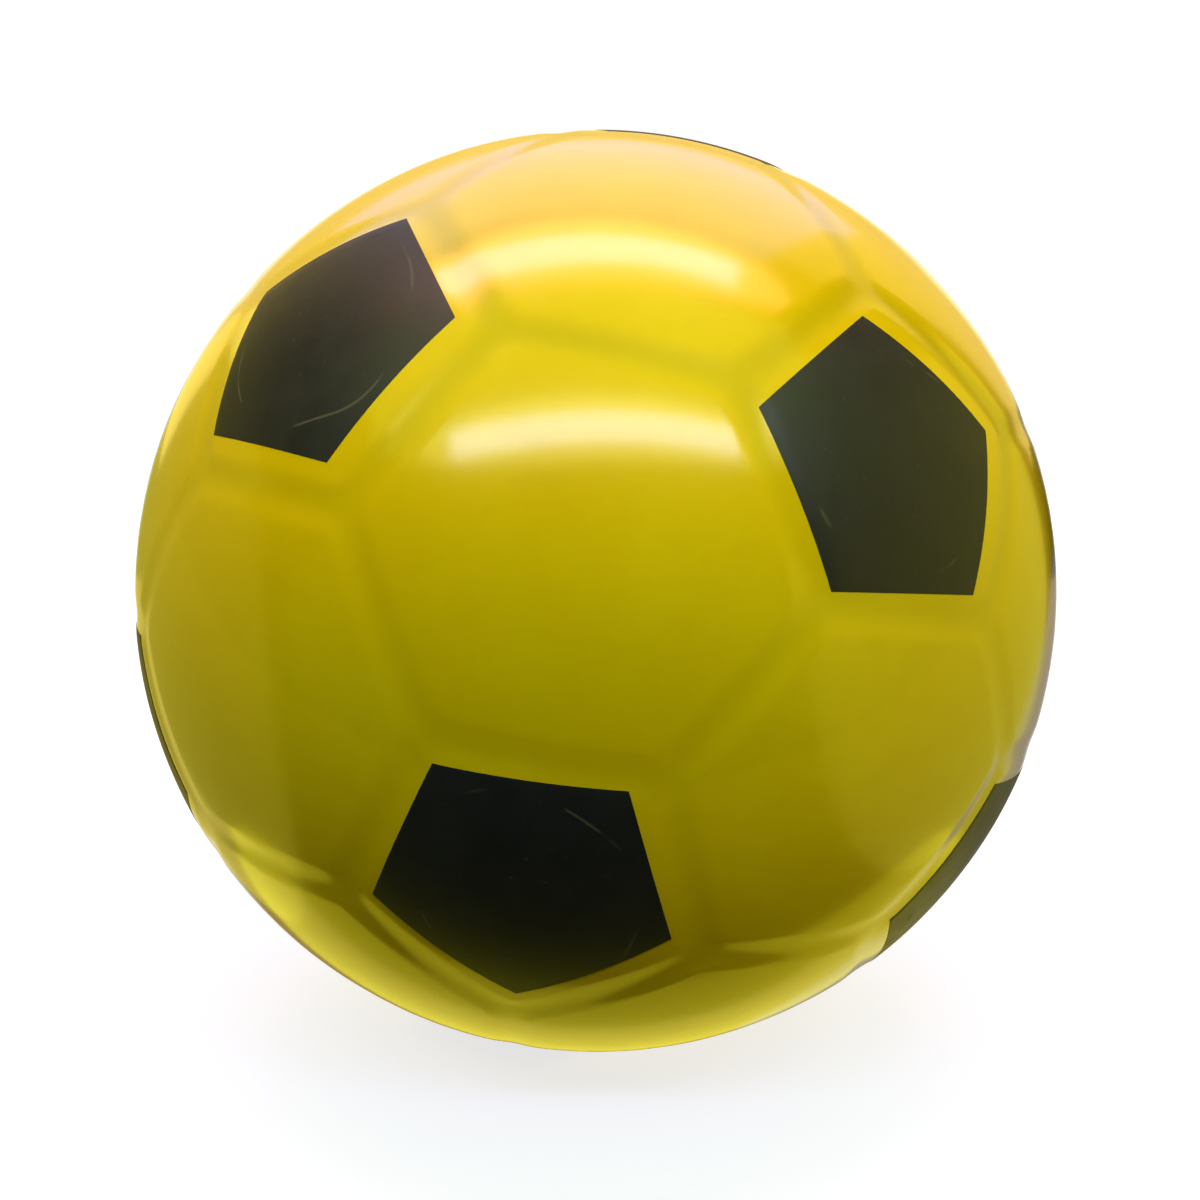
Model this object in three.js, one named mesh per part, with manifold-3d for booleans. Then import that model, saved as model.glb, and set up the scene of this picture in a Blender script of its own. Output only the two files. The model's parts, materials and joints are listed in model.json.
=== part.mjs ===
// Stress ball: a soft ball of moulded polyurethane foam in the pattern of a football.
//
// A foam core sits inside a thin, dense coat that is moulded in two halves, and twelve black
// pentagons are printed on the coat. The coat has thirty-two softly puffed panels, twelve
// pentagons and twenty hexagons, with a shallow crease between each two.
//
// Millimetres and degrees. The origin is the ball's centre. +Z runs through the middle of the
// top pentagon, and -Y towards the middle of a pentagon of the lower ring.

import * as THREE from 'three';
import { mergeVertices } from 'three/addons/utils/BufferGeometryUtils.js';
import Module from 'manifold-3d';

// Driving dimensions
const BALL_DIAMETER = 63;
const COAT_THICKNESS = 2;
const CREASE_DEPTH = 0.15;
const CREASE_HALF_WIDTH = 1.8;
const PRINT_THICKNESS = 0.95;
const PRINT_ANGLE = 16.4; // from a print's middle to its corner, seen from the ball's centre
const FIT_GAP = 0.3; // clearance between pieces that touch on the real ball

// Fineness of the surfaces
const PANEL_ROWS = 4;
const PRINT_ROWS = 4;
const POCKET_ROWS = 3;
const CORE_DETAIL = 6;

const BALL_RADIUS = BALL_DIAMETER / 2;
const COAT_INNER_RADIUS = BALL_RADIUS - COAT_THICKNESS;
const CORE_RADIUS = COAT_INNER_RADIUS - FIT_GAP;
const PRINT_INNER_RADIUS = BALL_RADIUS - PRINT_THICKNESS;
const POCKET_FLOOR_RADIUS = PRINT_INNER_RADIUS - FIT_GAP;
const BEYOND_BALL = BALL_RADIUS * 1.3;

const YELLOW_COAT = { color: 0xf5c800, roughness: 0.35, metalness: 0 };
const BLACK_INK = { color: 0x141412, roughness: 0.4, metalness: 0 };
const CREAM_FOAM = { color: 0xefe2b8, roughness: 0.9, metalness: 0 };

// The pentagons are centred on an icosahedron's corners: one at each pole, and two rings of five.
// A moulded and hand-masked ball is never quite regular, so panel gives how far a pentagon's
// moulded panel lies off its ideal place, east and north in millimetres, and print does the same
// for its ink, with a turn in degrees, anticlockwise as seen from outside.
const RING_LATITUDE = THREE.MathUtils.radToDeg(Math.atan(0.5));
const PENTAGONS = [
  { name: 'top', latitude: 90, longitude: 270, panel: [0.4, 0], print: [1.3, 0.2, 1] },
  { name: 'upper_1', latitude: RING_LATITUDE, longitude: 90, panel: [0, 0], print: [0.5, -0.3, -1] },
  { name: 'upper_2', latitude: RING_LATITUDE, longitude: 162, panel: [0, 0.3], print: [-0.3, 0.6, 2] },
  { name: 'upper_3', latitude: RING_LATITUDE, longitude: 234, panel: [0, 0], print: [-0.87, 0.72, -1] },
  { name: 'upper_4', latitude: RING_LATITUDE, longitude: 306, panel: [0.1, -0.8], print: [-0.8, -1.28, 2.6] },
  { name: 'upper_5', latitude: RING_LATITUDE, longitude: 18, panel: [0, 0], print: [0.4, 0.5, 1.5] },
  { name: 'lower_1', latitude: -RING_LATITUDE, longitude: 270, panel: [0, 0], print: [-0.24, 0.65, 2.8] },
  { name: 'lower_2', latitude: -RING_LATITUDE, longitude: 342, panel: [-1.2, 1.5], print: [-1.9, 1.5, 0.4] },
  { name: 'lower_3', latitude: -RING_LATITUDE, longitude: 54, panel: [0.3, 0], print: [0.6, -0.4, -2] },
  { name: 'lower_4', latitude: -RING_LATITUDE, longitude: 126, panel: [0, 0], print: [-0.5, 0.2, 1] },
  { name: 'lower_5', latitude: -RING_LATITUDE, longitude: 198, panel: [0, 0.4], print: [-0.2, 1.2, 0] },
  { name: 'bottom', latitude: -90, longitude: 270, panel: [0, 0], print: [0.5, 0.4, -1.5] },
];

const wasm = await Module();
wasm.setup();

// Directions and places on the ball

function compass(latitude, longitude) {
  const lat = THREE.MathUtils.degToRad(latitude);
  const lon = THREE.MathUtils.degToRad(longitude);
  return {
    middle: new THREE.Vector3(Math.cos(lat) * Math.cos(lon), Math.cos(lat) * Math.sin(lon), Math.sin(lat)),
    east: new THREE.Vector3(-Math.sin(lon), Math.cos(lon), 0),
    north: new THREE.Vector3(-Math.sin(lat) * Math.cos(lon), -Math.sin(lat) * Math.sin(lon), Math.cos(lat)),
  };
}

// The rotation about the ball's centre that slides a pentagon east and north, after turning it.
function slideOnBall(at, east, north, turn) {
  const towards = at.east.clone().multiplyScalar(east).addScaledVector(at.north, north);
  const axis = new THREE.Vector3().crossVectors(at.middle, towards).normalize();
  const slide = new THREE.Quaternion().setFromAxisAngle(axis, towards.length() / BALL_RADIUS);
  const spin = new THREE.Quaternion().setFromAxisAngle(at.middle, THREE.MathUtils.degToRad(turn));
  return slide.multiply(spin);
}

const compasses = PENTAGONS.map(({ latitude, longitude }) => compass(latitude, longitude));

function areNeighbours(i, j) {
  const dot = compasses[i].middle.dot(compasses[j].middle);
  return i !== j && dot > 0;
}

// A pentagon's five neighbours, anticlockwise as seen from outside.
function neighboursOf(i) {
  const { middle, east, north } = compasses[i];
  const bearing = (j) => Math.atan2(compasses[j].middle.dot(north), compasses[j].middle.dot(east));
  return PENTAGONS.map((_, j) => j)
    .filter((j) => areNeighbours(i, j))
    .sort((a, b) => bearing(a) - bearing(b));
}

// The corner of panel i that points at pentagon j, on a truncated icosahedron.
function panelCorner(i, j) {
  const ideal = compasses[i].middle.clone().multiplyScalar(2).add(compasses[j].middle).normalize();
  const [east, north] = PENTAGONS[i].panel;
  return ideal.applyQuaternion(slideOnBall(compasses[i], east, north, 0));
}

// A regular pentagon on the ball around print i, with its corners turned towards the neighbours.
function printOutline(i, angle) {
  const at = compasses[i];
  const place = slideOnBall(at, ...PENTAGONS[i].print);
  const corners = neighboursOf(i).map((j) => {
    const sideways = new THREE.Vector3().crossVectors(at.middle, compasses[j].middle).normalize();
    const corner = at.middle.clone().applyAxisAngle(sideways, THREE.MathUtils.degToRad(angle));
    return corner.applyQuaternion(place);
  });
  return { middle: at.middle.clone().applyQuaternion(place), corners };
}

// Every panel as the middle and corners of a polygon on the unit sphere.
function allPanels() {
  const panels = PENTAGONS.map((_, i) => neighboursOf(i).map((j) => panelCorner(i, j)));
  for (let i = 0; i < PENTAGONS.length; i += 1) {
    const around = neighboursOf(i);
    around.forEach((j, at) => {
      const k = around[(at + 1) % around.length];
      if (i < j && i < k) {
        panels.push([
          panelCorner(i, j), panelCorner(j, i), panelCorner(j, k),
          panelCorner(k, j), panelCorner(k, i), panelCorner(i, k),
        ]);
      }
    });
  }
  return panels.map((corners) => {
    const middle = corners.reduce((sum, corner) => sum.add(corner), new THREE.Vector3()).normalize();
    return { middle, corners };
  });
}

// Surfaces

// Triangles on the unit sphere that fill a polygon: a fan from its middle, each part in rows.
function fanTriangles({ middle, corners }, rows) {
  const triangles = [];
  corners.forEach((left, n) => {
    const right = corners[(n + 1) % corners.length];
    const point = (row, step) => {
      const flat = middle.clone().multiplyScalar(rows - row);
      return flat.addScaledVector(left, row - step).addScaledVector(right, step).normalize();
    };
    for (let row = 0; row < rows; row += 1) {
      for (let step = 0; step <= row; step += 1) {
        triangles.push([point(row, step), point(row + 1, step), point(row + 1, step + 1)]);
        if (step < row) {
          triangles.push([point(row, step), point(row + 1, step + 1), point(row, step + 1)]);
        }
      }
    }
  });
  return triangles;
}

// How far the surface lies from the ball's centre, in the direction of a point of this panel.
// Each panel's edge rolls down into the crease in a parabola.
function coatRadius(direction, corners) {
  let nearest = Infinity;
  corners.forEach((left, n) => {
    const right = corners[(n + 1) % corners.length];
    const inward = new THREE.Vector3().crossVectors(left, right).normalize();
    nearest = Math.min(nearest, Math.asin(THREE.MathUtils.clamp(inward.dot(direction), 0, 1)));
  });
  const share = Math.min(1, (nearest * BALL_RADIUS) / CREASE_HALF_WIDTH);
  return BALL_RADIUS - CREASE_DEPTH * (1 - share) ** 2;
}

function geometryOf(triangles) {
  const positions = triangles.flatMap((triangle) => triangle.flatMap((point) => point.toArray()));
  const geometry = new THREE.BufferGeometry();
  geometry.setAttribute('position', new THREE.Float32BufferAttribute(positions, 3));
  return geometry;
}

function coatSurface(panels) {
  const triangles = panels.flatMap((panel) =>
    fanTriangles(panel, PANEL_ROWS).map((triangle) =>
      triangle.map((point) => point.clone().multiplyScalar(coatRadius(point, panel.corners))),
    ),
  );
  return geometryOf(triangles);
}

// A closed tile with the given outline, from an inner radius out to the radius of each direction.
function tile(outline, rows, innerRadius, outerRadius) {
  const outer = fanTriangles(outline, rows);
  const lift = (point) => point.clone().multiplyScalar(outerRadius(point));
  const sink = (point) => point.clone().multiplyScalar(innerRadius);
  const triangles = outer.map((triangle) => triangle.map(lift));
  triangles.push(...outer.map(([a, b, c]) => [sink(a), sink(c), sink(b)]));
  outline.corners.forEach((left, n) => {
    const right = outline.corners[(n + 1) % outline.corners.length];
    const edgePoint = (step) =>
      left.clone().multiplyScalar(rows - step).addScaledVector(right, step).normalize();
    for (let step = 0; step < rows; step += 1) {
      const [a, b] = [edgePoint(step), edgePoint(step + 1)];
      triangles.push([lift(a), sink(a), sink(b)], [lift(a), sink(b), lift(b)]);
    }
  });
  return geometryOf(triangles);
}

// Solids

function toSolid(geometry) {
  const bare = geometry.index ? geometry.toNonIndexed() : geometry.clone();
  bare.deleteAttribute('normal');
  bare.deleteAttribute('uv');
  const welded = mergeVertices(bare, 1e-4);
  const mesh = new wasm.Mesh({
    numProp: 3,
    vertProperties: new Float32Array(welded.attributes.position.array),
    triVerts: new Uint32Array(welded.index.array),
  });
  return new wasm.Manifold(mesh);
}

function toGeometry(solid) {
  const { vertProperties, triVerts } = solid.getMesh();
  const geometry = new THREE.BufferGeometry();
  geometry.setAttribute('position', new THREE.BufferAttribute(new Float32Array(vertProperties), 3));
  geometry.setIndex(new THREE.BufferAttribute(new Uint32Array(triVerts), 1));
  geometry.computeVertexNormals();
  return geometry;
}

function foamBall(radius) {
  return new THREE.IcosahedronGeometry(radius, CORE_DETAIL);
}

// The room inside which the upper or the lower half of the coat lies, half a gap from the equator.
function halfSpace(side) {
  const box = new THREE.BoxGeometry(2 * BEYOND_BALL, 2 * BEYOND_BALL, BEYOND_BALL);
  box.translate(0, 0, side * (BEYOND_BALL + FIT_GAP) / 2);
  return toSolid(box);
}

// A pocket is a print's outline grown by the gap on every side.
function pocket(i) {
  const sideAngle = THREE.MathUtils.radToDeg(FIT_GAP / BALL_RADIUS);
  const cornerAngle = sideAngle / Math.cos(Math.PI / 5);
  const outline = printOutline(i, PRINT_ANGLE + cornerAngle);
  return toSolid(tile(outline, POCKET_ROWS, POCKET_FLOOR_RADIUS, () => BEYOND_BALL));
}

function mesh(name, geometry, finish) {
  const piece = new THREE.Mesh(geometry, new THREE.MeshStandardMaterial(finish));
  piece.name = name;
  return piece;
}

// The ball

function coatHalves(panels) {
  let coat = toSolid(coatSurface(panels)).subtract(toSolid(foamBall(COAT_INNER_RADIUS)));
  PENTAGONS.forEach((_, i) => {
    coat = coat.subtract(pocket(i));
  });
  return [
    mesh('coat_upper', toGeometry(coat.intersect(halfSpace(1))), YELLOW_COAT),
    mesh('coat_lower', toGeometry(coat.intersect(halfSpace(-1))), YELLOW_COAT),
  ];
}

function pentagonPrint(i, panels) {
  const radiusHere = (point) => coatRadius(point, panels[i].corners);
  const ink = tile(printOutline(i, PRINT_ANGLE), PRINT_ROWS, PRINT_INNER_RADIUS, radiusHere);
  return mesh(`pentagon_print_${PENTAGONS[i].name}`, toGeometry(toSolid(ink)), BLACK_INK);
}

const panels = allPanels();
const ball = new THREE.Group();
ball.add(mesh('foam_core', foamBall(CORE_RADIUS), CREAM_FOAM));
ball.add(...coatHalves(panels));
PENTAGONS.forEach((_, i) => ball.add(pentagonPrint(i, panels)));

export default ball;
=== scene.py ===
"""Looks of a foam stress ball in the pattern of a football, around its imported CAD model.

Metres, +Z up, origin at the ball's centre. The yellow coat's two halves, the twelve black prints
and the foam core are built again here as fine meshes, in the places that the CAD gives them.
"""

import json
import math

import bmesh
import bpy
import numpy as np
from mathutils import Matrix, Vector, noise


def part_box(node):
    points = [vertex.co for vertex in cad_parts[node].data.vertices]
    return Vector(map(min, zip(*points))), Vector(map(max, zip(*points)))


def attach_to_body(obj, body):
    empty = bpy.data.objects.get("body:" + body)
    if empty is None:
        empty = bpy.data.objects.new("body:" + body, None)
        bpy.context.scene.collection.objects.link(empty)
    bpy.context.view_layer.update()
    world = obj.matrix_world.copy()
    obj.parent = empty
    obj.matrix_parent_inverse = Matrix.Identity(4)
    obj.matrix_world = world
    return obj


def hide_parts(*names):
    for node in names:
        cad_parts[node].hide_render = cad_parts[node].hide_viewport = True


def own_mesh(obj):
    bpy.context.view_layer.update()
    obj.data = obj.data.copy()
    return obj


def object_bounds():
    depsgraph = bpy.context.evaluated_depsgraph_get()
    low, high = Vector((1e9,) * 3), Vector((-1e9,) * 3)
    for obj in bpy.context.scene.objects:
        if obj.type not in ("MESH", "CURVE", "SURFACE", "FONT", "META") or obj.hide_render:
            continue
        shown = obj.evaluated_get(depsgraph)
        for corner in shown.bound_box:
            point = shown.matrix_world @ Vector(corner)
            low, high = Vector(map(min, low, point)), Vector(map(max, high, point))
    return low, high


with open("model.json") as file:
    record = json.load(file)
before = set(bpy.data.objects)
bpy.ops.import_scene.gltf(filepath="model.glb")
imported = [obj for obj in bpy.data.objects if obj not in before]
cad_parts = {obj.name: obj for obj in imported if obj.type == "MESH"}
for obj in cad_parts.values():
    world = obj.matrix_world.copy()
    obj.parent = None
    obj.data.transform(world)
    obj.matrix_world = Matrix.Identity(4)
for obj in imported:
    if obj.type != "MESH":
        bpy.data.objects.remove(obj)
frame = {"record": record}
CAD_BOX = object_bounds()

MM = 0.001

# The ball, from the frame
BALL_RADIUS = max(high - low for low, high in zip(*CAD_BOX)) / 2
CORE_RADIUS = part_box("foam_core")[1].z
CORE_GAP = 0.3 * MM
COAT_INNER_RADIUS = CORE_RADIUS + CORE_GAP

# The moulded relief, and the slight unevenness of the skin: ripples that cross each other, each with
# its number of waves along X, Y and Z, and all of them tightened by the same factor
CREASE_DEPTH = 0.08 * MM
CREASE_HALF_WIDTH = 1.5 * MM
WAVINESS = 0.012 * MM
RIPPLES = [(7, 3, 5), (-4, 8, 3), (5, -6, 9), (11, 4, -7), (-9, 12, 6)]
RIPPLE_TIGHTNESS = 1.7
RIPPLE_PEAK = 3

# The prints
PRINT_ANGLE = 16.4  # from a print's middle to its corner, seen from the ball's centre
INK_THICKNESS = 0.035 * MM
INK_EDGE_THICKNESS = INK_THICKNESS / 3
INK_EDGE_WIDTH = 0.05 * MM
INK_ROOT_DEPTH = 0.05 * MM

# The foam's cut cells, and its broad swells
CELL_DEPTH = 0.25 * MM
CELLS_PER_RADIUS = 18
CELL_STEEPNESS = 2.2
SWELL_DEPTH = 0.05 * MM
SWELLS_PER_RADIUS = 3

# Fineness of the meshes
SIDE_STEPS = 14
PANEL_ROWS = 6
CREASE_ROWS = 10
CREASE_STARTS_AT = 0.72  # share of the way from a panel's middle to its edge
PRINT_ROWS = 28
CORE_DETAIL = 6
WELD_DISTANCE = 1e-6
CUT_TOLERANCE = 1e-7
SLOPE_STEP = 1e-4  # how far apart, in radians, the heights are that a normal is worked out from

# The pentagons sit on an icosahedron's corners. panel and print say how far the moulded panel and
# its ink lie off the ideal place, east and north in millimetres, the ink also with a turn in degrees.
RING_LATITUDE = math.degrees(math.atan(0.5))
PENTAGONS = {
    "top": {"at": (90, 270), "panel": (0.4, 0), "print": (1.3, 0.2, 1)},
    "upper_1": {"at": (RING_LATITUDE, 90), "panel": (0, 0), "print": (0.5, -0.3, -1)},
    "upper_2": {"at": (RING_LATITUDE, 162), "panel": (0, 0.3), "print": (-0.3, 0.6, 2)},
    "upper_3": {"at": (RING_LATITUDE, 234), "panel": (0, 0), "print": (-0.87, 0.72, -1)},
    "upper_4": {"at": (RING_LATITUDE, 306), "panel": (0.1, -0.8), "print": (-0.8, -1.28, 2.6)},
    "upper_5": {"at": (RING_LATITUDE, 18), "panel": (0, 0), "print": (0.4, 0.5, 1.5)},
    "lower_1": {"at": (-RING_LATITUDE, 270), "panel": (0, 0), "print": (-0.24, 0.65, 2.8)},
    "lower_2": {"at": (-RING_LATITUDE, 342), "panel": (-1.2, 1.5), "print": (-1.9, 1.5, 0.4)},
    "lower_3": {"at": (-RING_LATITUDE, 54), "panel": (0.3, 0), "print": (0.6, -0.4, -2)},
    "lower_4": {"at": (-RING_LATITUDE, 126), "panel": (0, 0), "print": (-0.5, 0.2, 1)},
    "lower_5": {"at": (-RING_LATITUDE, 198), "panel": (0, 0.4), "print": (-0.2, 1.2, 0)},
    "bottom": {"at": (-90, 270), "panel": (0, 0), "print": (0.5, 0.4, -1.5)},
}

# The camera, and the upright of the table that the ball lies on
CAMERA_AZIMUTH = 2.29
CAMERA_ELEVATION = 7.15
BALL_ROLL = 9.47  # the ball lies rolled to the right by this, as a ball may
CAMERA_RADII = 3.4716  # from the ball's centre, in ball radii
LENS = 45.99  # millimetres
SHIFT = (0.0034, -0.0076)  # of the picture, in its own widths


# Directions and places on the ball

def unit(vectors):
    return vectors / np.linalg.norm(vectors, axis=-1, keepdims=True)


def compass(latitude, longitude):
    """The direction of a place on the ball, and the directions of east and north there."""
    lat, lon = math.radians(latitude), math.radians(longitude)
    middle = np.array([math.cos(lat) * math.cos(lon), math.cos(lat) * math.sin(lon), math.sin(lat)])
    east = np.array([-math.sin(lon), math.cos(lon), 0])
    return middle, east, np.cross(middle, east)


def turn_about(axis, angle):
    """The matrix of a turn about an axis through the ball's centre, by an angle in radians."""
    return np.array(Matrix.Rotation(angle, 3, Vector(axis)))


def slide_on_ball(at, east_mm, north_mm, turn=0):
    """The rotation that slides a pentagon east and north, after turning it by so many degrees."""
    middle, east, north = at
    towards = (east * east_mm + north * north_mm) * MM
    length = np.linalg.norm(towards)
    spin = turn_about(middle, math.radians(turn))
    if length == 0:
        return spin
    return turn_about(np.cross(middle, towards), length / BALL_RADIUS) @ spin


COMPASSES = {name: compass(*row["at"]) for name, row in PENTAGONS.items()}


def neighbours_of(name):
    """A pentagon's five neighbours, anticlockwise as seen from outside."""
    middle, east, north = COMPASSES[name]
    near = [other for other in PENTAGONS if other != name and COMPASSES[other][0] @ middle > 0]
    return sorted(near, key=lambda o: math.atan2(COMPASSES[o][0] @ north, COMPASSES[o][0] @ east))


def panel_corner(name, other):
    """The corner of a moulded pentagon that points at another one, on a truncated icosahedron."""
    ideal = unit(2 * COMPASSES[name][0] + COMPASSES[other][0])
    return slide_on_ball(COMPASSES[name], *PENTAGONS[name]["panel"]) @ ideal


def all_panels():
    """The corners of the twelve pentagons and the twenty hexagons, anticlockwise."""
    panels = [np.array([panel_corner(i, j) for j in neighbours_of(i)]) for i in PENTAGONS]
    order = list(PENTAGONS)
    for i in PENTAGONS:
        around = neighbours_of(i)
        for j, k in zip(around, around[1:] + around[:1]):
            if order.index(i) < min(order.index(j), order.index(k)):
                pairs = [(i, j), (j, i), (j, k), (k, j), (k, i), (i, k)]
                panels.append(np.array([panel_corner(*pair) for pair in pairs]))
    return panels


PANELS = all_panels()


def print_outline(name, angle):
    """The corners of a print, a regular pentagon, and its middle."""
    at = COMPASSES[name]
    place = slide_on_ball(at, *PENTAGONS[name]["print"])
    corners = []
    for other in neighbours_of(name):
        sideways = np.cross(at[0], COMPASSES[other][0])
        corners.append(place @ turn_about(sideways, math.radians(angle)) @ at[0])
    return place @ at[0], np.array(corners)


# The coat's surface

def creasing(directions):
    """How deep in a crease each direction lies: 0 on a panel, 1 on the line between two panels."""
    deepest = np.full(len(directions), -np.inf)
    depth = np.zeros(len(directions))
    for corners in PANELS:
        inward = unit(np.cross(corners, np.roll(corners, -1, axis=0)))
        inside = directions @ inward.T
        nearest = inside.min(axis=1)
        # Along each side the groove fades out smoothly; at a corner the grooves run into each other.
        share = np.clip(np.arcsin(np.clip(inside, 0, 1)) * BALL_RADIUS / CREASE_HALF_WIDTH, 0, 1)
        groove = 1 - np.prod(1 - (1 - share**2) ** 2, axis=1)
        depth = np.where(nearest > deepest, groove, depth)
        deepest = np.maximum(nearest, deepest)
    return depth


def waves(directions):
    """The slight unevenness of a moulded skin, as a share from about -1 to 1."""
    total = np.zeros(len(directions))
    for phase, ripple in enumerate(RIPPLES):
        total += np.sin(directions @ np.array(ripple) * RIPPLE_TIGHTNESS + phase)
    return total / RIPPLE_PEAK


def coat_radius(directions):
    return BALL_RADIUS - CREASE_DEPTH * creasing(directions) - WAVINESS * (1 - waves(directions))


def coat_normals(directions):
    """The surface's normals, from its slope in two directions across each point."""
    radius = coat_radius(directions)
    helper = np.where(np.abs(directions[:, 2:]) < 0.9, [[0.0, 0.0, 1.0]], [[1.0, 0.0, 0.0]])
    first = unit(np.cross(helper, directions))
    normal = directions * radius[:, None]
    for tangent in (first, np.cross(directions, first)):
        ahead = coat_radius(unit(directions + tangent * SLOPE_STEP))
        behind = coat_radius(unit(directions - tangent * SLOPE_STEP))
        normal -= tangent * ((ahead - behind) / (2 * SLOPE_STEP))[:, None]
    return unit(normal)


# Meshes

def make_object(name, points, faces, corner_normals=None):
    """A mesh object, with each point's place at rest, in millimetres, kept as an attribute."""
    mesh = bpy.data.meshes.new(name)
    mesh.from_pydata(points.tolist(), [], faces)
    mesh.validate()
    mesh.shade_smooth()
    place = mesh.attributes.new("place_mm", "FLOAT_VECTOR", "POINT")
    place.data.foreach_set("vector", (points / MM).ravel())
    if corner_normals is not None:
        mesh.normals_split_custom_set(corner_normals)
    made = bpy.data.objects.new(name, mesh)
    bpy.context.scene.collection.objects.link(made)
    return made


def flat_normal(points, face):
    a, b, c = (points[i] for i in face[:3])
    return unit(np.cross(b - a, c - a)).tolist()


def outline_points(corners, steps_per_side):
    """Points along the straight sides of a closed outline, starting at its first corner."""
    shares = np.arange(steps_per_side)[:, None] / steps_per_side
    nexts = np.roll(corners, -1, axis=0)
    sides = [left * (1 - shares) + right * shares for left, right in zip(corners, nexts)]
    return np.concatenate(sides)


def ball_mesh():
    """The whole coat's outside as one mesh of unit directions, in rings around each panel's middle."""
    flat_rows = np.linspace(0, CREASE_STARTS_AT, PANEL_ROWS + 1)[1:]
    crease_rows = np.linspace(CREASE_STARTS_AT, 1, CREASE_ROWS + 1)[1:]
    rows = np.concatenate([flat_rows, crease_rows])
    bm = bmesh.new()
    for corners in PANELS:
        middle = unit(corners.sum(axis=0))
        rim = outline_points(corners, SIDE_STEPS)
        rings = [[bm.verts.new(p) for p in unit(middle * (1 - row) + rim * row)] for row in rows]
        centre = bm.verts.new(middle)
        count = len(rim)
        for n in range(count):
            m = (n + 1) % count
            bm.faces.new((centre, rings[0][n], rings[0][m]))
            for inner, outer in zip(rings, rings[1:]):
                bm.faces.new((inner[n], outer[n], outer[m], inner[m]))
    bmesh.ops.remove_doubles(bm, verts=bm.verts, dist=WELD_DISTANCE)
    return bm


def cut_half(bm, side):
    """The directions and faces of the half above (side 1) or below (side -1) the parting line."""
    half = bm.copy()
    everything = half.verts[:] + half.edges[:] + half.faces[:]
    bmesh.ops.bisect_plane(
        half, geom=everything, dist=CUT_TOLERANCE, plane_no=(0, 0, side), clear_inner=True
    )
    half.verts.index_update()
    directions = unit(np.array([v.co for v in half.verts]))
    faces = [[v.index for v in face.verts] for face in half.faces]
    half.free()
    return directions, faces


def coat_half(name, bm, side):
    """Half of the coat as a closed shell: the skin, the inside that the foam fills, and the rim."""
    directions, faces = cut_half(bm, side)
    skin = directions * coat_radius(directions)[:, None]
    inside = directions * COAT_INNER_RADIUS
    count = len(directions)
    points = np.concatenate([skin, inside])
    normals = np.concatenate([coat_normals(directions), -directions])
    edges = {(a, b) for face in faces for a, b in zip(face, face[1:] + face[:1])}
    rim = [[b, a, a + count, b + count] for a, b in sorted(edges) if (b, a) not in edges]
    lining = [[v + count for v in reversed(face)] for face in faces]
    corner_normals = [normals[v].tolist() for face in faces + lining for v in face]
    corner_normals += [[0, 0, -side]] * (4 * len(rim))
    half = make_object(name, points, faces + lining + rim, corner_normals)
    depth = half.data.attributes.new("creasing", "FLOAT", "POINT")
    depth.data.foreach_set("value", np.tile(creasing(directions), 2))
    return half


def ink_film(name, pentagon):
    """A print as a thin closed film that follows the coat, with a soft shoulder around its edge."""
    middle, corners = print_outline(pentagon, PRINT_ANGLE)
    shoulder = 1 - INK_EDGE_WIDTH / (BALL_RADIUS * math.radians(PRINT_ANGLE))
    row_shares = np.append(np.linspace(0, shoulder, PRINT_ROWS + 1)[1:], 1)
    edge = outline_points(corners, PRINT_ROWS)
    rings = [unit(middle * (1 - share) + edge * share) for share in row_shares]
    top = np.concatenate([[middle], *rings])
    count = len(edge)
    lift = np.full(len(top), INK_THICKNESS)
    lift[-count:] = INK_EDGE_THICKNESS
    surface = coat_radius(top)
    root = surface - INK_ROOT_DEPTH
    points = np.concatenate([top * (surface + lift)[:, None], top * root[:, None]])
    below = len(top)
    faces = []
    for n in range(count):
        m = (n + 1) % count
        faces.append([0, 1 + n, 1 + m])
        for ring in range(len(row_shares) - 1):
            inner, outer = 1 + ring * count, 1 + (ring + 1) * count
            faces.append([inner + n, outer + n, outer + m, inner + m])
    underside = [[v + below for v in reversed(face)] for face in faces]
    rim = range(below - count, below)
    wall = [[v, v + below, w + below, w] for v, w in zip(rim, [*rim[1:], rim[0]])]
    normals = coat_normals(top)
    corner_normals = [normals[v].tolist() for face in faces for v in face]
    for face in underside + wall:
        corner_normals += [flat_normal(points, face)] * len(face)
    film = make_object(name, points, faces + underside + wall, corner_normals)
    from_middle = film.data.attributes.new("from_middle_mm", "FLOAT", "POINT")
    distances = np.arccos(np.clip(top @ middle, -1, 1)) * BALL_RADIUS / MM
    from_middle.data.foreach_set("value", np.tile(distances, 2))
    return film


def foam_ball(name):
    """The core: a ball whose surface has the dimples of cut open foam cells."""
    bm = bmesh.new()
    bmesh.ops.create_icosphere(bm, subdivisions=CORE_DETAIL, radius=1)
    for vert in bm.verts:
        from_cell = noise.voronoi(vert.co * CELLS_PER_RADIUS)[0][0]
        dimple = CELL_DEPTH * (1 - min(1, from_cell * CELL_STEEPNESS))
        swell = SWELL_DEPTH * (1 + noise.noise(vert.co * SWELLS_PER_RADIUS))
        vert.co *= CORE_RADIUS - dimple - swell
    points = np.array([v.co for v in bm.verts])
    faces = [[v.index for v in face.verts] for face in bm.faces]
    bm.free()
    return make_object(name, points, faces)


# Materials

def feed(tree, socket, value):
    """Sets an input to a value, or links it from another node's output."""
    if isinstance(value, bpy.types.NodeSocket):
        tree.links.new(value, socket)
    else:
        socket.default_value = value


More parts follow.
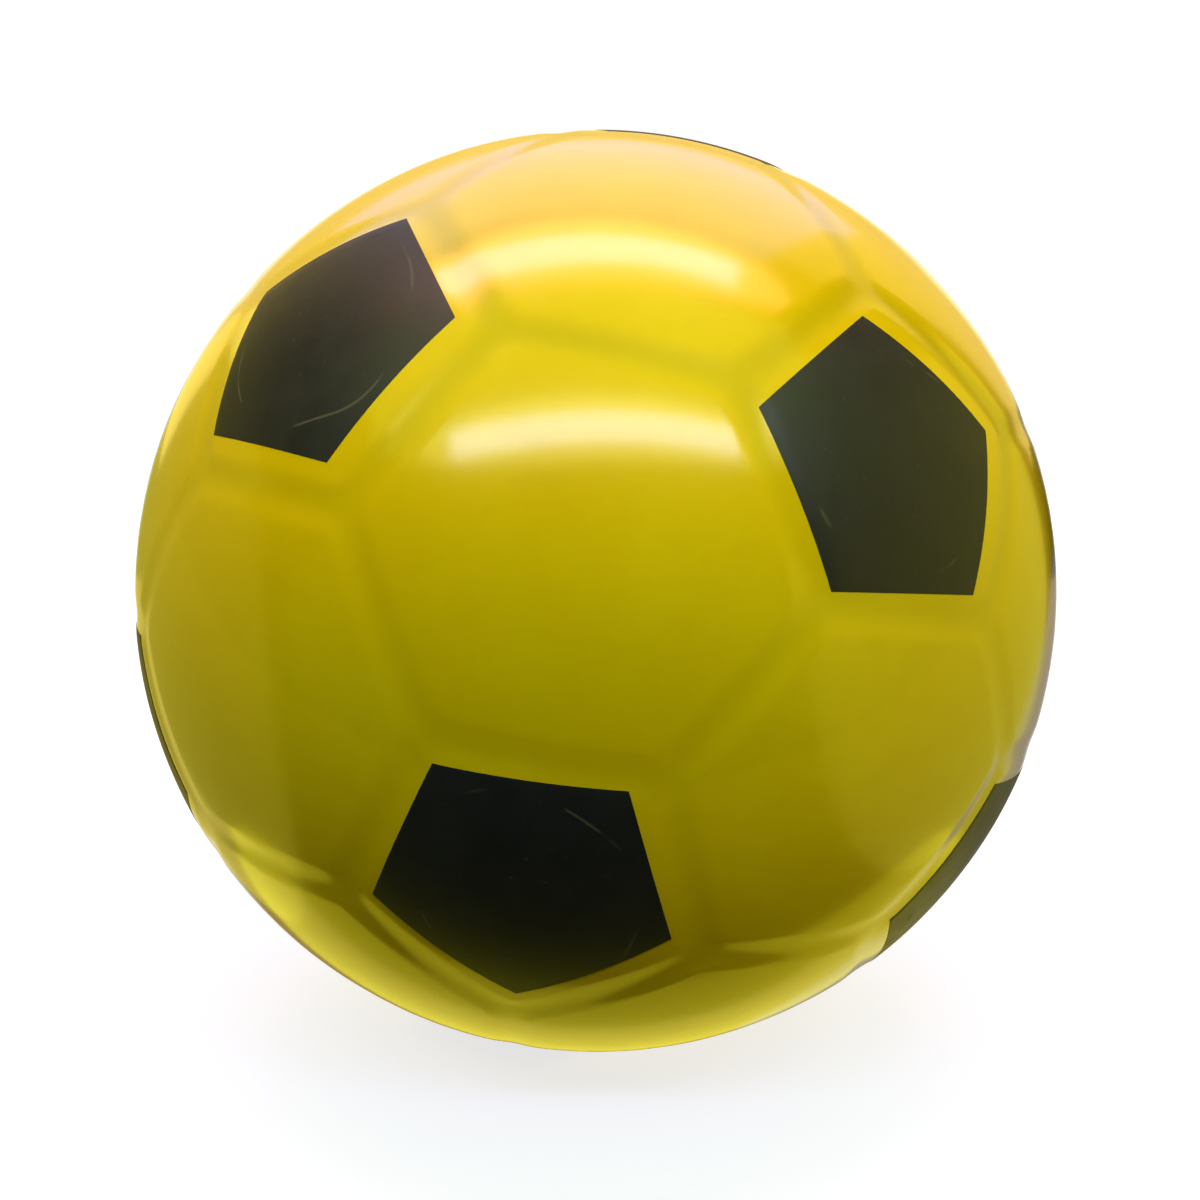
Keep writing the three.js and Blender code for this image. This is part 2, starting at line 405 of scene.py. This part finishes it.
def node(tree, kind, settings=None, **inputs):
    """Adds a node. Its inputs go by name, or as i0, i1 and so on by their place in the node."""
    made = tree.nodes.new("ShaderNode" + kind)
    for setting, value in (settings or {}).items():
        setattr(made, setting, value)
    for name, value in inputs.items():
        feed(tree, made.inputs[int(name[1:]) if name[1:].isdigit() else name], value)
    return made


def attribute(tree, name, output="Fac"):
    return node(tree, "Attribute", {"attribute_name": name}).outputs[output]


def calculate(tree, operation, a, b=0.0):
    return node(tree, "Math", {"operation": operation}, i0=a, i1=b).outputs[0]


def rest_place(tree):
    """A point's place at rest, in millimetres, which doesn't slide when the ball is squeezed."""
    return attribute(tree, "place_mm", "Vector")


def noise_at(tree, place, scale, detail=2.0, roughness=0.5):
    made = node(tree, "TexNoise", None, Vector=place, Scale=scale, Detail=detail, Roughness=roughness)
    return made.outputs["Fac"]


def remap(tree, value, low_in, high_in, low_out, high_out):
    inputs = {"i0": value, "i1": low_in, "i2": high_in, "i3": low_out, "i4": high_out}
    return node(tree, "MapRange", None, **inputs).outputs["Result"]


def mix_colours(tree, share, first, second):
    first, second = (c if isinstance(c, bpy.types.NodeSocket) else (*c, 1) for c in (first, second))
    return node(tree, "Mix", {"data_type": "RGBA"}, Factor=share, i6=first, i7=second).outputs[2]


def new_material(name):
    material = bpy.data.materials.new(name)
    material.use_nodes = True
    tree = material.node_tree
    return material, tree, tree.nodes["Principled BSDF"]


def dress(tree, shader, **inputs):
    """Sets or links the shader's inputs, with _ in place of a space in a name."""
    for name, value in inputs.items():
        feed(tree, shader.inputs[name.replace("_", " ")], value)


def coat_material():
    """Smooth, glossy yellow polyurethane skin: a little uneven in tone, with a faint orange peel.

    Painted shade darkens the creases, the more so the higher up on the ball they are.
    """
    material, tree, shader = new_material("yellow_coat")
    place = rest_place(tree)
    broad = noise_at(tree, place, 0.09, 3)
    fine = noise_at(tree, place, 0.7, 3, 0.5)
    tone = mix_colours(tree, remap(tree, broad, 0.3, 0.7, 0, 1), (0.86, 0.58, 0.0), (0.93, 0.66, 0.003))
    tone = mix_colours(tree, remap(tree, fine, 0.35, 0.75, 0, 0.08), tone, (0.7, 0.42, 0.0))
    height = node(tree, "SeparateXYZ", None, Vector=place).outputs["Z"]
    # Painted shade in the creases, stronger the higher up on the ball they lie
    crease_shade_by_height = remap(tree, height, 2, 18, 0.03, 0.38)
    painted_crease_shade = calculate(tree, "MULTIPLY", attribute(tree, "creasing"), crease_shade_by_height)
    tone = mix_colours(tree, painted_crease_shade, tone, (0.42, 0.36, 0.0))
    peel = noise_at(tree, place, 0.9, 3, 0.55)
    grain = calculate(tree, "MULTIPLY", noise_at(tree, place, 5.0, 2), 0.04)
    relief = calculate(tree, "ADD", peel, grain)
    bump = node(tree, "Bump", None, Strength=0.25, Distance=0.04 * MM, Height=relief)
    satin = remap(tree, noise_at(tree, place, 0.35, 4), 0.3, 0.7, 0.19, 0.25)
    dress(tree, shader, Base_Color=tone, Roughness=satin, Normal=bump.outputs["Normal"], IOR=1.5)
    dress(tree, shader, Specular_IOR_Level=0.5, Specular_Tint=(1.0, 0.72, 0.01, 1))
    dress(tree, shader, Coat_Weight=1.0, Coat_Roughness=0.135)
    return material


def ink_material():
    """Satin black printing ink, with specks of dust and broken pale lines around its middle: a painted
    highlight of the glints on the creases, which also dulls the ink as rubbing does.

    The pale lines follow a ring that wanders from 5.4 to 7.4 mm from the print's middle.
    """
    material, tree, shader = new_material("black_ink")
    place = rest_place(tree)
    from_middle = attribute(tree, "from_middle_mm")
    cloud = remap(tree, noise_at(tree, place, 0.3, 3), 0.3, 0.7, 0, 1)
    tone = mix_colours(tree, cloud, (0.013, 0.0135, 0.016), (0.017, 0.0173, 0.02))
    ring = remap(tree, noise_at(tree, place, 0.09, 1), 0.3, 0.7, 5.4, 7.4)
    aside = calculate(tree, "ABSOLUTE", calculate(tree, "SUBTRACT", from_middle, ring))
    line = remap(tree, aside, 0.02, 0.13, 1, 0)
    broken = remap(tree, noise_at(tree, place, 0.22, 2), 0.54, 0.62, 0, 1)
    # Painted highlight: the pale colour of these lines stands in for glints on the creases; they also
    # dull the ink, as rub marks would
    rub_and_glint = calculate(tree, "MULTIPLY", line, broken)
    tone = mix_colours(tree, calculate(tree, "MULTIPLY", rub_and_glint, 0.75), tone, (0.1, 0.095, 0.06))
    grit = node(tree, "TexVoronoi", None, Vector=place, Scale=1.1).outputs["Distance"]
    near_middle = remap(tree, from_middle, 1.0, 3.5, 1, 0.25)
    specks = calculate(tree, "MULTIPLY", remap(tree, grit, 0.06, 0.16, 0.5, 0), near_middle)
    tone = mix_colours(tree, specks, tone, (0.09, 0.08, 0.055))
    grain = noise_at(tree, place, 3.0, 3)
    bump = node(tree, "Bump", None, Strength=0.2, Distance=0.03 * MM, Height=grain)
    satin = remap(tree, noise_at(tree, place, 0.5, 4), 0.3, 0.7, 0.38, 0.46)
    dulled = calculate(tree, "ADD", satin, calculate(tree, "MULTIPLY", rub_and_glint, 0.15))
    dress(tree, shader, Base_Color=tone, Roughness=dulled, Normal=bump.outputs["Normal"], IOR=1.48)
    dress(tree, shader, Specular_IOR_Level=0.56)
    return material


def foam_material():
    """Cream open-cell foam: matt, with its pores darkened by painted shade."""
    material, tree, shader = new_material("cream_foam")
    place = rest_place(tree)
    cells = node(tree, "TexVoronoi", None, Vector=place, Scale=1.4).outputs["Distance"]
    pore_depth_and_shade = remap(tree, cells, 0.05, 0.45, 0, 1)
    # Painted shade: the pores are darkened where shade falls in them, and the same mask gives their bump
    tone = mix_colours(tree, pore_depth_and_shade, (0.42, 0.33, 0.17), (0.86, 0.76, 0.5))
    bump = node(tree, "Bump", None, Strength=0.6, Distance=0.2 * MM, Height=pore_depth_and_shade)
    dress(tree, shader, Base_Color=tone, Roughness=0.95, Normal=bump.outputs["Normal"])
    return material


def stage_material():
    """A pale matt backdrop that glows evenly white away from the ball, so no horizon shows."""
    material, tree, shader = new_material("pale_backdrop")
    place = node(tree, "TexCoord").outputs["Object"]
    tone = mix_colours(tree, noise_at(tree, place, 4.0), (0.32, 0.32, 0.56), (0.34, 0.34, 0.58))
    from_ball = node(tree, "VectorMath", {"operation": "LENGTH"}, i0=place).outputs["Value"]
    glow = remap(tree, from_ball, 0.08, 0.5, 0.76, 0.98)
    dress(tree, shader, Base_Color=tone, Roughness=0.9)
    dress(tree, shader, Emission_Strength=glow, Emission_Color=(1, 1, 1, 1))
    return material


# The pieces

BODIES = frame["record"]["behaviour"]["bodies"]


def attach(piece, material, body, node_name):
    """Gives a piece its material and its body, and hides the CAD part that it stands in for."""
    piece.data.materials.append(material)
    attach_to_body(piece, body)
    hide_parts(node_name)
    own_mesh(piece)


def body_of(node_name):
    return next(body for body, members in BODIES.items() if node_name in members)


def make_ball():
    yellow, black, cream = coat_material(), ink_material(), foam_material()
    whole = ball_mesh()
    parts = [("foam_core", foam_ball("core_foam"), cream, "foam")]
    for side, half in ((1, "upper"), (-1, "lower")):
        parts.append((f"coat_{half}", coat_half(f"{half}_coat", whole, side), yellow, "coat"))
    whole.free()
    for pentagon in PENTAGONS:
        film = ink_film(f"{pentagon}_ink", pentagon)
        parts.append((f"pentagon_print_{pentagon}", film, black, "ink"))
    for node_name, piece, material, slot in parts:
        body = body_of(node_name)
        attach(piece, material, body, node_name)


# The camera, the stage and the lights

def camera_axes():
    """Unit vectors of the camera: to its right, up, and back towards it from the ball."""
    middle, east, north = compass(CAMERA_ELEVATION, CAMERA_AZIMUTH - 90)
    roll = turn_about(middle, math.radians(BALL_ROLL))
    return [Vector(v) for v in (roll @ east, roll @ north, middle)]


RIGHT, UP, BACK = camera_axes()


def facing(position, target, up):
    """The rotation of a camera or light at a position that looks at a target."""
    back = (position - target).normalized()
    right = up.cross(back).normalized()
    return Matrix((right, back.cross(right), back)).transposed()


def make_camera():
    data = bpy.data.cameras.new("camera")
    data.lens = LENS
    data.shift_x, data.shift_y = SHIFT
    data.clip_start, data.clip_end = 0.001, 20
    camera = bpy.data.objects.new("camera", data)
    bpy.context.scene.collection.objects.link(camera)
    position = BACK * CAMERA_RADII * BALL_RADIUS
    camera.matrix_world = Matrix.Translation(position) @ facing(position, Vector(), UP).to_4x4()
    bpy.context.scene.camera = camera


# The light box around the ball. A light's place is right of, above and towards the camera from the
# ball, and its size is across and along, both in box heights. Its radiance is red, green and blue:
# the strips and the backdrop are close to white, the walls, floors and ceilings are warm, and
# back_ceiling_middle and right_back_glow add a little cool light that the ball's top and its lower
# right edge mirror. A glow is an ellipse, so that no corner of it shows in the ball.
BOX_HEIGHT = 0.4
BOX_LIGHTS = {
    "front_strip": {"place": (0, 1, 1.35), "size": (2.0, 0.21), "radiance": (6.2, 7.2, 10.0)},
    "front_strip_glow": {"place": (0, 1, 1.35), "size": (2.7, 0.46), "radiance": (1.9, 1.9, 0.6)},
    "top_strip": {"place": (-0.02, 1, 0.13), "size": (0.95, 0.16), "radiance": (5.8, 4.6, 6.0)},
    "top_strip_glow": {"place": (-0.02, 1, 0.13), "size": (1.4, 0.36), "radiance": (4.1, 1.5, 0.6)},
    "front_ceiling": {"place": (0, 1, 0.7), "size": (2.6, 0.8), "radiance": (0.7, 1.2, 0.18)},
    "back_ceiling": {"place": (0, 1, -0.95), "size": (2.5, 1.9), "radiance": (0.82, 0.6, 0.16)},
    "back_ceiling_middle": {"place": (0, 1, -0.45), "size": (1.2, 0.9), "radiance": (0.1, 0.2, 0.9)},
    "left_wall_glow": {"place": (-1.4, -0.1, -0.8), "size": (2.6, 2.4), "radiance": (0.33, 0.3, 0.03)},
    "right_wall_glow": {"place": (1.4, -0.1, -0.1), "size": (2.8, 2.4), "radiance": (0.43, 0.4, 0.04)},
    "back_floor": {"place": (0, -0.6, -1.2), "size": (2.4, 1.4), "radiance": (0.28, 0.2, 0.06)},
    "under_floor_glow": {"place": (0, -1, -0.8), "size": (2.8, 1.2), "radiance": (0.57, 0.53, 0.02)},
    "right_back_glow": {"place": (0.75, -0.5, -1.45), "size": (1.2, 1.2), "radiance": (0.0, 0.04, 0.15)},
    "backdrop": {"place": (0, 0.1, -2.6), "size": (2.4, 2.0), "radiance": (0.4, 0.4, 0.4)},
}
AMBIENT = (0.004, 0.006, 0.002)
OVERHEAD = 0.7  # from this far up or down, as a share of its distance, a light lies along BACK


def box_light(name, place, size, radiance):
    """A wall, ceiling or strip of the light box, as an area light that faces the ball.

    Its power is pi times its area times its radiance.
    """
    data = bpy.data.lights.new(name, "AREA")
    data.shape = "ELLIPSE" if name.endswith("glow") else "RECTANGLE"
    data.size, data.size_y = (extent * BOX_HEIGHT for extent in size)
    brightest = max(radiance)
    data.energy = math.pi * data.size * data.size_y * brightest
    data.color = [channel / brightest for channel in radiance]
    light = bpy.data.objects.new(name, data)
    light.visible_camera = False
    bpy.context.scene.collection.objects.link(light)
    position = (RIGHT * place[0] + UP * place[1] + BACK * place[2]) * BOX_HEIGHT
    is_overhead = abs(position.normalized().dot(UP)) > OVERHEAD
    turned = facing(position, Vector(), -BACK if is_overhead else UP)
    light.matrix_world = Matrix.Translation(position) @ turned.to_4x4()


def make_lights():
    for name, row in BOX_LIGHTS.items():
        box_light(name, **row)
    world = bpy.data.worlds.new("studio")
    world.use_nodes = True
    world.node_tree.nodes["Background"].inputs["Color"].default_value = (*AMBIENT, 1)
    bpy.context.scene.world = world


FLOOR_RADIUS = 0.7
SWEEP_RADIUS = 0.5
WALL_HEIGHT = 1.2
STAGE_HUB_RADIUS = 0.02
FLOOR_ROWS = 12
SWEEP_ROWS = 17
STAGE_SIDES = 96


def make_stage():
    """A pale round table top that sweeps up into a wall all round, level with the camera's upright."""
    tilt = math.radians(CAMERA_ELEVATION)
    upright = UP * math.cos(tilt) + BACK * math.sin(tilt)
    profile = [(radius, 0.0) for radius in np.linspace(STAGE_HUB_RADIUS, FLOOR_RADIUS, FLOOR_ROWS)]
    for a in np.linspace(0, math.pi / 2, SWEEP_ROWS)[1:]:
        profile.append((FLOOR_RADIUS + SWEEP_RADIUS * math.sin(a), SWEEP_RADIUS * (1 - math.cos(a))))
    profile.append((FLOOR_RADIUS + SWEEP_RADIUS, WALL_HEIGHT))
    turns = [2 * math.pi * n / STAGE_SIDES for n in range(STAGE_SIDES)]
    bm = bmesh.new()
    rings = []
    for radius, height in profile:
        circle = [(radius * math.cos(a), radius * math.sin(a), height) for a in turns]
        rings.append([bm.verts.new(point) for point in circle])
    bm.faces.new(rings[0])
    for inner, outer in zip(rings, rings[1:]):
        for n in range(STAGE_SIDES):
            m = (n + 1) % STAGE_SIDES
            bm.faces.new((inner[n], outer[n], outer[m], inner[m]))
    mesh = bpy.data.meshes.new("table")
    bm.to_mesh(mesh)
    bm.free()
    mesh.shade_smooth()
    table = bpy.data.objects.new("table", mesh)
    bpy.context.scene.collection.objects.link(table)
    lean = upright.to_track_quat("Z", "Y").to_matrix().to_4x4()
    table.matrix_world = Matrix.Translation(-upright * BALL_RADIUS) @ lean
    table.visible_diffuse = False
    table.visible_glossy = False
    table.visible_shadow = False
    mesh.materials.append(stage_material())


make_camera()
make_ball()
make_stage()
make_lights()
bpy.context.scene.view_settings.view_transform = "Standard"
